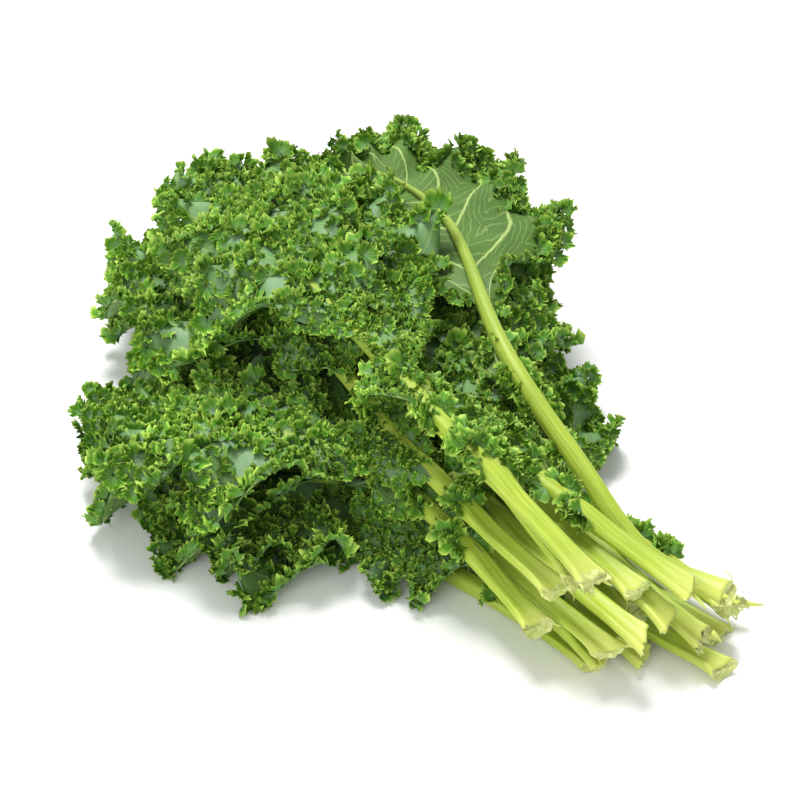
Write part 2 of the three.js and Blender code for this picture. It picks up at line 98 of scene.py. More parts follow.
# The leaves, in the order in which they are laid: the cut end, two bends of the petiole, the neck, the
# middle of the blade and its tip; then the blade's half width, the columns along its midrib on both
# sides, the leaflets' size, the ruffles' height, how far the sides drop, and the turn about the leaf's own
# length at the neck and at the tip, in degrees
LEAVES = [
    ([[172, -14, 0], [134, -19, 0], [95, -27, 0], [46, -42, 0], [8, -79, 0], [-50, -123, 0]],
     47, 16, 2, 12, 4, [0, 4]),
    ([[182, 7, 0], [137, 2, 0], [86, -5, 0], [38, -18, 0], [8, -56, 0], [-2, -124, 0]],
     46, 12, 2, 12, 6, [0, 0]),
    ([[214, 32, -2], [160, 20, 0], [80, 24, 0], [-6, 30, 0], [-98, 28, 0], [-196, 8, 0]],
     58, 12, 2, 13, 6, [0, 0]),
    ([[196, 44, -2], [152, 38, 0], [98, 44, 0], [14, 64, 0], [-64, 94, 0], [-160, 134, 0]],
     52, 12, 2, 13, 6, [0, 0]),
    ([[168, 14, 0], [118, 11, 0], [54, 9, 0], [-16, 5, 0], [-122, -6, 4], [-226, -22, 0]],
     58, 16, 2, 12, 4, [0, 6]),
    ([[180, -17, 0], [146, -16, 0], [112, -19, 0], [88, -24, 0], [64, -36, 0], [52, -62, 0]],
     32, 12, 12, 9, 8, [0, 0]),
    ([[191, 58, 0], [152, 52, 0], [118, 47, 0], [88, 46, 0], [34, 70, 0], [-30, 106, 0]],
     38, 16, 3, 12, 8, [0, -12]),
    ([[203, 27, -6], [151, 24, -2], [82, 32, 0], [2, 50, 0], [-90, 72, 0], [-206, 100, 0]],
     56, 12, 2, 13, 6, [0, 0]),
    ([[190, 14, -10], [144, 15, -4], [86, 24, 0], [4, 50, 0], [-96, 92, 4], [-202, 134, 0]],
     52, 12, 2, 13, 8, [0, -8]),
    ([[184, -17, 0], [139, -21, 0], [88, -23, 0], [36, -32, 0], [-18, -78, 0], [-93, -126, 0]],
     56, 12, 2, 13, 8, [0, 10]),
    ([[194, -6, 0], [148, -8, 0], [92, -9, 0], [34, -16, 0], [-34, -58, 4], [-126, -109, 0]],
     58, 12, 2, 13, 8, [0, 8]),
    ([[176, 7, -8], [133, 4, -3], [91, 4, 0], [34, 22, 0], [-48, 56, 4], [-134, 94, 0]],
     56, 12, 2, 13, 8, [0, 0]),
    ([[190, 24, -12], [142, 13, -8], [106, 5, -3], [70, 9, 0], [2, 42, 6], [-88, 94, 0]],
     54, 16, 12, 13, 8, [0, -8]),
    ([[194, 48, -42], [152, 33, -42], [102, 33, -24], [34, 39, 0], [-68, 80, 15], [-190, 102, 24]],
     71, 16, 8, 10, -6, [180, 172]),
    ([[157, -36, 0], [116, -35, 0], [81, -36, 0], [45, -42, 0], [-10, -80, 8], [-88, -119, 0]],
     58, 16, 18, 13, 10, [0, 10]),
    ([[157, -27, 0], [116, -31, 0], [72, -33, 0], [31, -34, 0], [-80, -28, 10], [-218, -18, 8]],
     62, 16, 18, 13, 10, [0, 6]),
    ([[168, -20, -28], [122, -20, -12], [76, -15, -3], [41, -15, 2], [-45, 5, 11], [-146, 44, 8]],
     53, 16, 18, 13, 10, [0, -6]),
    ([[176, -20, -30], [122, -26, -14], [88, -32, -4], [50, -33, 2], [-66, -22, 5], [-194, 8, -2]],
     52, 16, 18, 13, 16, [0, 0]),
]


# ---------------- small maths
def climb_of(round_):
    return 1 - abs(2 * round_ - 1)


def side_of(round_):
    return -1 if round_ < 0.5 else 1


def fraction(value):
    return value - math.floor(value)


def chance(leaf, draw):
    """An even number from 0 to 1 for each leaf and draw, the same as in the part's source."""
    return fraction(math.sin(12.9898 * draw + 78.233 * leaf) * 43758.5453)


def mix(a, b, t):
    return a + (b - a) * t


def clamp(value, low=0.0, high=1.0):
    return min(high, max(low, value))


def ease(low, high, value):
    t = clamp((value - low) / (high - low))
    return t * t * (3 - 2 * t)


def steps(values, places, at):
    i = 0
    while i < len(places) - 2 and at > places[i + 1]:
        i += 1
    return mix(values[i], values[i + 1], clamp((at - places[i]) / (places[i + 1] - places[i])))


def smooth_between(values, at):
    """A smooth curve through evenly spaced values, at a place counted in values."""
    i = int(clamp(math.floor(at), 0, len(values) - 2))
    t = at - i
    b, c = values[i], values[i + 1]
    a = values[i - 1] if i > 0 else 2 * b - c
    d = values[i + 2] if i + 2 < len(values) else 2 * c - b
    return b + 0.5 * t * (c - a + t * (2 * a - 5 * b + 4 * c - d + t * (3 * (b - c) + d - a)))


# ---------------- a leaf's form, as in the part's source
class Spine:
    """The line of a leaf from its cut end to its tip. Places along it are counted from the neck."""

    def __init__(self, path):
        knots = [Vector(p) for p in path]
        spans = len(knots) - 1
        padded = [2 * knots[0] - knots[1]] + knots + [2 * knots[-1] - knots[-2]]
        self.points = []
        for i in range(SPAN_POINTS * spans + 1):
            span = min(i // SPAN_POINTS, spans - 1)
            t = i / SPAN_POINTS - span
            a, b, c, d = padded[span:span + 4]
            leave, arrive = 0.5 * (c - a), 0.5 * (d - b)
            bend = 3 * (c - b) - 2 * leave - arrive
            turn = 2 * (b - c) + leave + arrive
            self.points.append(b + leave * t + bend * t * t + turn * t ** 3)
        self.lengths = [0.0]
        for a, b in zip(self.points, self.points[1:]):
            self.lengths.append(self.lengths[-1] + (b - a).length)
        self.neck = self.lengths[SPAN_POINTS * NECK_KNOT]
        self.blade_length = self.lengths[-1] - self.neck

    def at(self, from_neck):
        along = from_neck + self.neck
        i = int(clamp(bisect.bisect_left(self.lengths, along) - 1, 0, len(self.points) - 2))
        a, b = self.points[i], self.points[i + 1]
        share = (along - self.lengths[i]) / (self.lengths[i + 1] - self.lengths[i])
        return a.lerp(b, share), (b - a).normalized()


class Leaf:
    """A place on the blade is given by round_, from one side of its base round the tip to the other side, and
    by share, from the midrib to the margin, both from 0 to 1. The climb is 0 at the base and 1 at the tip."""

    def __init__(self, index, path, half, columns, leaflets, wave, arch, roll):
        self.index, self.half, self.columns, self.leaflets = index, half, columns, leaflets
        self.wave, self.arch, self.roll = wave, arch, roll
        self.name = f"leaf_{index:02d}"
        self.spine = Spine(path)
        self.tip_vein = self.spine.blade_length * TIP_VEIN_SHARE
        self.rib_end = self.spine.blade_length - self.tip_vein
        self.face_down = abs(roll[0]) > 90
        start = -self.spine.neck
        petiole = [i / (STALK_SECTIONS - 1) for i in range(STALK_SECTIONS - 1)]
        self.ring_places = [start] + [mix(start + FLARE_LENGTH, -WING_LENGTH, t) for t in petiole]
        self.ring_places += [self.vein_root(2 * j / columns) for j in range(columns // 2 + 1)]

    def phase(self, draw):
        return 2 * math.pi * chance(self.index, draw)

    def frame(self, from_neck):
        place, tangent = self.spine.at(from_neck)
        level = Vector((0, 0, 1)).cross(tangent).normalized()
        rise = tangent.cross(level)
        turn = math.radians(mix(*self.roll, ease(0, self.spine.blade_length, from_neck)))
        across = level * math.cos(turn) + rise * math.sin(turn)
        out = rise * math.cos(turn) - level * math.sin(turn)
        return place, across, out

    def vein_root(self, climb):
        return mix(-WING_LENGTH, self.rib_end, math.sin(math.pi / 2 * climb))

    def vein_length(self, climb, side):
        blade = ease(*BLADE_START, climb) * mix(self.half, self.tip_vein, ease(NARROWING, 1, climb))
        lobes = 1 + LOBE_SIZE * math.sin(climb * LOBE_PITCH + self.phase(4 if side > 0 else 5))
        leaflet = max(0, math.sin(climb * LEAFLET_PITCH + side + self.phase(3)))
        leaflet *= ease(*LEAFLETS_START, climb)
        return (WING + self.leaflets * leaflet) * (1 - ease(*LEAFLETS_END, climb)) + blade * lobes

    def flat(self, round_, share):
        """How far a place of the flat blade lies from its vein's root, along the leaf and to the side."""
        climb = climb_of(round_)
        side = side_of(round_)
        length = self.vein_length(climb, side) * share
        angle = math.radians(VEIN_ANGLE * (1 - climb ** VEIN_ANGLE_POWER))
        return length, self.vein_root(climb) + length * math.cos(angle), side * length * math.sin(angle)

    def point(self, round_, share):
        length, along, aside = self.flat(round_, share)
        place, across, out = self.frame(along)
        return place + across * aside + out * self.height(round_, share, length, along, aside)

    def height(self, round_, share, length, along, aside):
        rise = RISE * length * (1 - RISE_FADE * share)
        drop = self.arch * (length / self.half) ** 2
        drift = WAVE_DRIFT * math.sin(2 * math.pi * DRIFT_TURNS * round_ + self.phase(1))
        swing = 2 * math.pi * self.columns * round_ + drift
        strength = 1 + WAVE_SWELL * math.sin(2 * math.pi * SWELL_TURNS * round_ + self.phase(2))
        room = min(1, length / share / self.half if share else 0) ** SHORT_VEIN_POWER
        ruffle = self.wave * strength * room * share ** 2 * math.sin(swing + WAVE_START)
        return max(rise - drop + ruffle, -DIP * self.past_rib(along, aside))

    def past_rib(self, along, aside):
        return max(0, abs(aside) - self.girth(along)[0] - RIB_SIDE)

    def girth(self, from_neck):
        """Half width and depth of the stalk."""
        start = -self.spine.neck
        places = [start, start + FLARE_LENGTH, start * MID_PETIOLE, 0, self.rib_end]
        return steps(STALK_HALF_WIDTHS, places, from_neck), steps(STALK_DEPTHS, places, from_neck)

    def read_lifts(self):
        """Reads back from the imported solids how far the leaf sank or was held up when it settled."""
        self.row_lifts = []
        blade = corners(self.name + "_blade")
        for share, multiple in zip(ROW_SHARES, ROW_MULTIPLES):
            count = self.columns * multiple
            row = []
            for i in range(count + 1):
                if share:
                    start = self.bowed_point(i / count, share)
                else:
                    ring = STALK_SECTIONS + min(i, self.columns - i)
                    start = self.frame(self.ring_places[ring])[0]
                row.append(sheet_height(blade, start) - start.z)
            self.row_lifts.append(row)
        stalk = corners(self.name + "_stalk")
        self.ring_lifts = []
        for place in self.ring_places[:STALK_SECTIONS]:
            centre, across, out = self.frame(place)
            wide = self.girth(place)[0]
            crest = centre + across * CREST_SIDE * wide - out * RIB_DROP
            self.ring_lifts.append(nearest_height(stalk, crest) - crest.z)
        self.ring_lifts += self.row_lifts[0][:self.columns // 2 + 1]

    def bowed_point(self, round_, share):
        """The place before settling, beside the stalk's straight runs between its rings."""
        _, along, aside = self.flat(round_, share)
        last = len(self.ring_places) - 2
        ring = 0
        while ring < last and along > self.ring_places[ring + 1]:
            ring += 1
        start, end = self.ring_places[ring], self.ring_places[ring + 1]
        run = self.frame(start)[0].lerp(self.frame(end)[0], (along - start) / (end - start))
        bow = run - self.frame(along)[0]
        return self.point(round_, share) + bow * max(0, 1 - self.past_rib(along, aside) / (2 * RIB_SIDE))

    def lift(self, round_, share):
        row = 0
        while row < len(ROW_SHARES) - 2 and share > ROW_SHARES[row + 1]:
            row += 1
        inner, outer = self.row_lifts[row], self.row_lifts[row + 1]
        t = (share - ROW_SHARES[row]) / (ROW_SHARES[row + 1] - ROW_SHARES[row])
        return mix(smooth_between(inner, round_ * (len(inner) - 1)),
                   smooth_between(outer, round_ * (len(outer) - 1)), t)

    def stalk_lift(self, place):
        ring = int(clamp(bisect.bisect_right(self.ring_places, place) - 1, 0, len(self.ring_places) - 2))
        start, end = self.ring_places[ring], self.ring_places[ring + 1]
        return smooth_between(self.ring_lifts, ring + (place - start) / (end - start))

    def settled(self, round_, share):
        return self.point(round_, share) + Vector((0, 0, self.lift(round_, share))) - FOOTPRINT_CENTRE


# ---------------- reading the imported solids
SAME_PLACE = 0.01


def corners(node):
    """A node's corners in millimetres, sorted into plan cells of one millimetre."""
    cells = {}
    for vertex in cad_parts[node].data.vertices:
        place = vertex.co / MM + FOOTPRINT_CENTRE
        cell = cells.setdefault((math.floor(place.x), math.floor(place.y)), [])
        if all((place - other).length > SAME_PLACE for other in cell):
            cell.append(place)
    return cells


def around(cells, place):
    column, row = math.floor(place.x), math.floor(place.y)
    return [other for i in (-1, 0, 1) for j in (-1, 0, 1) for other in cells.get((column + i, row + j), [])]


def sheet_height(cells, place):
    """Height of the middle of the sheet, between the two corners that lie on either face of it."""
    near = around(cells, place)
    best, height = math.inf, place.z
    for i, a in enumerate(near):
        for b in near[i + 1:]:
            middle = (a + b) / 2
            miss = (middle - place).xy.length + abs((a - b).length - BLADE_THICKNESS)
            if miss < best:
                best, height = miss, middle.z
    return height


def nearest_height(cells, place):
    return min(around(cells, place), key=lambda other: (other - place).xy.length).z


leaves = [Leaf(i + 1, *facts) for i, facts in enumerate(LEAVES)]
for leaf in leaves:
    leaf.read_lifts()

# ---------------- meshes
MIDDLE_TINT, DARKER_TINT = 0.5, 0.25


def start_mesh():
    """A bmesh with a map for the veins, and for each corner how near it is to a frilled edge and a tint."""
    bm = bmesh.new()
    bm.loops.layers.uv.new("veins")
    bm.verts.layers.float.new("edge")
    bm.verts.layers.float.new("tint")
    return bm


def sheet_grid(bm, columns, rows):
    """A flat grid, and for each of its corners how far round and how far out it lies, from 0 to 1."""
    made = bmesh.ops.create_grid(bm, x_segments=columns, y_segments=rows, size=1)["verts"]
    return [(v, (v.co.x + 1) / 2, (v.co.y + 1) / 2) for v in made]


def set_corner(bm, v, edge, tint, across, out):
    v[bm.verts.layers.float["edge"]] = edge
    v[bm.verts.layers.float["tint"]] = tint
    for loop in v.link_loops:
        loop[bm.loops.layers.uv["veins"]].uv = (across, out)


def finish_piece(name, bm, node, slot, *materials):
    mesh = bpy.data.meshes.new(name)
    bm.to_mesh(mesh)
    bm.free()
    mesh.transform(Matrix.Scale(MM, 4))
    for material in materials:
        mesh.materials.append(material)
    mesh.shade_smooth()
    piece = bpy.data.objects.new(name, mesh)
    bpy.context.scene.collection.objects.link(piece)
    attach(piece, "root")
    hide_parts(node)


# ---------------- curls, the small ruffled fans of the frills
CURL_KINDS = 40
FIRST_CURL_SEED = 100
FINE_CURL = (12, 2)  # crimps of the rim, and rows from the root to the rim
PLAIN_CURL = (8, 2)
CRIMP_COLUMNS = 3
# Least and most of a fan's spread to each side in degrees, count of folds, depth of folds and cupping
BOWL = ((120, 160), (2.4, 3.6), (0.16, 0.28), (0.35, 0.8))
STANDING_FAN = ((90, 120), (1.9, 2.8), (0.26, 0.38), (-0.15, 0.3))
CRIMPING = (0.17, 0.25)
CRIMP_REACH = 0.7  # share of the crimping that goes outwards
CRIMP_START = 0.7
TOOTH = 0.04
FLATTENING = 0.4  # of the folds' crests
FOLD_LEAN = 0.12
DRAWN_IN = 0.1  # share by which the folding pulls the rim in
CRIMP_TROUGH_SHADE = 0.1  # how much less of the rim's colour the troughs of the crimps have: painted shade in the troughs, painted highlight on the crests
ROOT_RADIUS = 0.08
# How late on the way to the rim each of these sets in
ROW_POWER, CUP_POWER, FOLD_POWER, CRIMP_POWER, CRIMP_REACH_POWER, TOOTH_POWER = 0.75, 1.4, 1.7, 2.5, 3.5, 6
# Unevenness round the fan: its size, and its pitch in radians from the middle to a side
FOLD_DRIFT = (0.8, 2.3)
CRIMP_DRIFT = (0.25, 7)
CRIMP_SWELL = (0.45, 5)
REACH_SWELL = (0.14, 2.6)
FOLD_SWELL = (0.3, 4)
CURL_VEINS = 7


def curl_mesh(kind, crimps, rows):
    """A fan one unit long that opens towards +X. Even kinds are bowls, odd ones standing fans of folds."""
    draw = random.Random(FIRST_CURL_SEED + kind)
    spread, folds, depth, cup = [draw.uniform(*limits) for limits in (STANDING_FAN if kind % 2 else BOWL)]
    crimping = draw.uniform(*CRIMPING)
    starts = [draw.uniform(0, 2 * math.pi) for _ in range(6)]
    columns = CRIMP_COLUMNS * crimps
    teeth = [draw.uniform(-TOOTH, TOOTH) for _ in range(columns + 1)]
    bm = start_mesh()
    for v, across, out in sheet_grid(bm, columns, rows):
        a = 2 * across - 1

        def uneven(size_and_pitch, start):
            size, pitch = size_and_pitch
            return size * math.sin(pitch * a + starts[start])

        r = ROOT_RADIUS + (1 - ROOT_RADIUS) * out ** ROW_POWER
        turn = -a * math.radians(spread)
        swing = math.pi * folds * a + uneven(FOLD_DRIFT, 0) + starts[3]
        wave = math.sin(swing)
        phase = 2 * math.pi * (crimps * across + uneven(CRIMP_DRIFT, 1)) + CRIMP_START
        strength = crimping * (1 + uneven(CRIMP_SWELL, 5))
        tooth = teeth[round(across * columns)] * r ** TOOTH_POWER
        reach = r * (1 + uneven(REACH_SWELL, 2)) * (1 - DRAWN_IN * r * r)
        reach += tooth + CRIMP_REACH * strength * r ** CRIMP_REACH_POWER * math.cos(phase)
        heave = depth * r ** FOLD_POWER * wave * (1 + FLATTENING - FLATTENING * abs(wave))
        heave *= 1 + uneven(FOLD_SWELL, 4)
        sway = -FOLD_LEAN * r ** 2 * math.sin(2 * swing)
        height = cup * r ** CUP_POWER + heave + strength * r ** CRIMP_POWER * math.sin(phase)
        ahead, aside = math.cos(turn), math.sin(turn)
        v.co = (reach * ahead - sway * aside, reach * aside + sway * ahead, height)
        # Painted shade in the crimps' troughs and a painted highlight on their crests
        edge = r * (1 - CRIMP_TROUGH_SHADE * r ** 2 * (1 - math.sin(phase)))
        set_corner(bm, v, edge, MIDDLE_TINT, across * CURL_VEINS, out)
    mesh = bpy.data.meshes.new(f"curl_{kind}")
    bm.to_mesh(mesh)
    bm.free()
    return mesh


def plant(bm, curl, base, face, heading, size, tint):
    """Sets a curl at base, so that it points to heading and faces face."""
    first = len(bm.verts)
    bm.from_mesh(curl)
    bm.verts.ensure_lookup_table()
    grown = bm.verts[first:]
    side = face.cross(heading).normalized()
    turn = Matrix((heading * size, side * size, face * size)).transposed().to_4x4()
    bmesh.ops.transform(bm, matrix=Matrix.Translation(base) @ turn, verts=grown)
    for v in grown:
        v[bm.verts.layers.float["tint"]] = tint


# ---------------- what lies above and around a leaf
LOOK_REACH = 120
LOOK_RISES = (0.3, 0.9)  # radians above level
LOOK_TURNS = 8
LOOKS = [Vector((0, 0, 1))] + [
    Vector((math.cos(turn) * math.cos(rise), math.sin(turn) * math.cos(rise), math.sin(rise)))
    for rise in LOOK_RISES for turn in [2 * math.pi / LOOK_TURNS * k + rise for k in range(LOOK_TURNS)]
]


def solid_tree(names):
    places, faces = [], []
    for name in names:
        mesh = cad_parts[name].data
        start = len(places)
        places += [v.co / MM for v in mesh.vertices]
        faces += [[start + i for i in p.vertices] for p in mesh.polygons]
    return BVHTree.FromPolygons(places, faces)


def openness(solids, place):
    """How many of the 17 looks out of a place are free of other leaves."""
    return sum(solids.ray_cast(place, look, LOOK_REACH)[0] is None for look in LOOKS)


# ---------------- blades
UP_GRID = (8, 11)  # columns for each column of the leaf's midrib, and rows, of a blade that lies face up
DOWN_GRID = (12, 16)
UP_EDGE, DOWN_EDGE = 0.95, 1.06  # where the sheet ends, under the curls, as a share of the veins
SHEET = 0.5  # thickness
FLOOR = 0.35  # least height of a blade
SHEET_EDGE = 0.3  # how much of the frills' colour the sheet takes on at its margin
VEIN_SLANT = 0.2  # how far a side vein climbs on its way to the margin
VEIN_RIDGE = 1.0  # how far the side veins stand out under a blade
VEIN_RIDGE_WIDTH = 0.12  # as a share of the way to the next
VEIN_RIDGE_FADE = 0.7
BARE_VEIN = (4.5, 9)  # vein lengths between which the bare petiole gives way to a blade
BARE_DRAWN_IN = 0.6
BARE_SUNK = 1.6
CRINKLES = ((1.5, 0.075), (0.7, 0.21))  # height of the blade's crinkles, and how close together they are
CRINKLE_ROOM = 16  # from the midrib to where the crinkles have their full height


def vein_place(leaf, round_, share):
    """Counts the side veins from the base: a vein runs where this is a whole number and a half."""
    return (climb_of(round_) - VEIN_SLANT * share) * leaf.columns / 2


def vein_length(leaf, round_):
    return leaf.vein_length(climb_of(round_), side_of(round_))


def skin(leaf, round_, share):
    """A place on the blade, and the way out of its face. Between leaflets it draws into the petiole."""
    length, along, _ = leaf.flat(round_, share)
    out = leaf.frame(along)[2]
    bare = 1 - ease(*BARE_VEIN, vein_length(leaf, round_))
    place = leaf.settled(round_, share).lerp(leaf.settled(round_, 0), BARE_DRAWN_IN * bare)
    place -= out * BARE_SUNK * bare
    crinkle = sum(height * noise.noise(place * pitch) for height, pitch in CRINKLES)
    return place + out * ease(0, CRINKLE_ROOM, length) * crinkle, out


def grow_sheet(leaf, bm):
    columns, rows = DOWN_GRID if leaf.face_down else UP_GRID
    for v, round_, out_share in sheet_grid(bm, leaf.columns * columns, rows):
        share = out_share * (DOWN_EDGE if leaf.face_down else UP_EDGE)
        v.co, out = skin(leaf, round_, share)
        vein = vein_place(leaf, round_, share)
        if leaf.face_down:
            ridge = 1 - ease(0, VEIN_RIDGE_WIDTH, abs(fraction(vein) - 0.5))
            v.co -= out * VEIN_RIDGE * ridge * max(0, 1 - share) ** VEIN_RIDGE_FADE
        tint = DARKER_TINT if leaf.face_down else MIDDLE_TINT
        set_corner(bm, v, SHEET_EDGE * share ** 2, tint, vein, share)
    bm.normal_update()
    if sum(f.normal.z * f.calc_area() for f in bm.faces) * (-1 if leaf.face_down else 1) < 0:
        bmesh.ops.reverse_faces(bm, faces=bm.faces)
    upper = set(bm.faces)
    bmesh.ops.solidify(bm, geom=bm.faces[:], thickness=SHEET)
    for f in bm.faces:
        f.material_index = f not in upper


# ---------------- frills
HEAP_TOP = cad_high[2] / MM
STEP_OUT, STEP_ROUND = 0.03, 0.006  # to the places that give the blade's slope
NO_LENGTH = 1e-6
LOOK_UP, LOOK_AHEAD = 3, 6  # where a curl looks for open space, above its root and out from it
LEAST_OPEN = 4
FINE_OPEN, FINE_SIZE = 8, 4  # more open and larger curls than this are the fine ones
ROOM_ABOVE, CRAMPED, ROOMY = 20, 0.4, 16  # curls are smaller close under another leaf
LEAST_GROWTH = 0.45
BOWL_LEAN = (0, 30)  # degrees up from the blade
FAN_LEAN = (35, 75)
RIM_SHARE, RIM_LEAN = 0.9, 0.6  # curls past this share lean up less
LOW, LOW_LEAN = 12, 10  # curls this near the surface lean up more
NEAR_TOP, TOP_LEAN = 6, 0.3  # and those this near the top of the heap less
CURL_MIDDLE = 0.6
RIB_CLEARANCE = 16  # no curl rises beside the bare midrib of the leaf that lies face down
RIB_TOUCH = 0.9
BELOW_RIB = 4
CURL_SUNK = 0.3
CURL_GROWTH = 0.14  # size of a curl, as a share of its vein
NECK_CURL, LEAST_CURL, LARGEST_CURL = 3.6, 5, 7.4
NECK_CLIMB = 0.15  # above this the frills also hide the midrib
RIM_DARTS = 20  # tries on each column of the leaf's midrib
RIM_VEIN = 7  # the rim has curls where the veins are longer than this
RIM_JITTER = (0.2, 0.8)
RIM_OUT = 0.01
RIM_GROWTH, RIM_SPACING, RIM_TURN = (0.75, 1.3), 0.66, 45
FACE_DARTS = 3600
FACE_VEIN = 14
FACE_GROWTH, FACE_SPACING, FACE_TURN = (0.6, 1.2), 0.8, (10, 90)
UP_SHARES, DOWN_SHARES = (0, 0.95), (0.5, 1.03)
# Smooth patches, without curls: the shares between which they lie, and the pitch and level of their noise
PATCH_SHARES, PATCH_PITCH, PATCH_LEVEL = (0.12, 0.84), 0.04, 0.25
# A leaf that lies face down is smooth up to this share, but for patches
SMOOTH_SHARE, SMOOTH_PITCH, SMOOTH_LEVEL = 0.78, 0.04, 0.25
TUFT_DARTS = 100
TUFT_PLACES = (-WING_LENGTH, 10)  # from the neck
TUFT_PITCH, LEAF_PITCH = 0.07, 7  # of the noise that says where tufts grow, along and between leaves
TUFT_SIDE = 0.75  # how far out on the petiole, as a share of its half width
TUFT_ASIDE, TUFT_UP, TUFT_AHEAD = (0.1, 1), (0.3, 1), (-0.1, 0.7)
TUFT_LOOK, TUFT_OPEN = 8, 3
TUFT_SIZES = (4.5, 9)
TUFT_TINTS = (0.3, 1)
# A curl is lighter the more open its place is, a painted shade on curls closed in by other leaves; darker
# high up in the heap, and uneven
TINT_LEAST, PAINTED_SHADE_PER_LOOK, TINT_SPREAD = 0.15, 0.045, 0.3
TINT_DRIFT, TINT_PITCH = 0.4, 0.03
TINT_HIGH, TINT_HEIGHTS = 0.35, (50, 105)
DARKER_LEAVES, DARKER_BY = (10, 13, 14), 0.25

bare_ribs = solid_tree([leaf.name + "_stalk" for leaf in leaves if leaf.face_down])
fine_curls = [curl_mesh(kind, *FINE_CURL) for kind in range(CURL_KINDS)]
plain_curls = [curl_mesh(kind, *PLAIN_CURL) for kind in range(CURL_KINDS)]


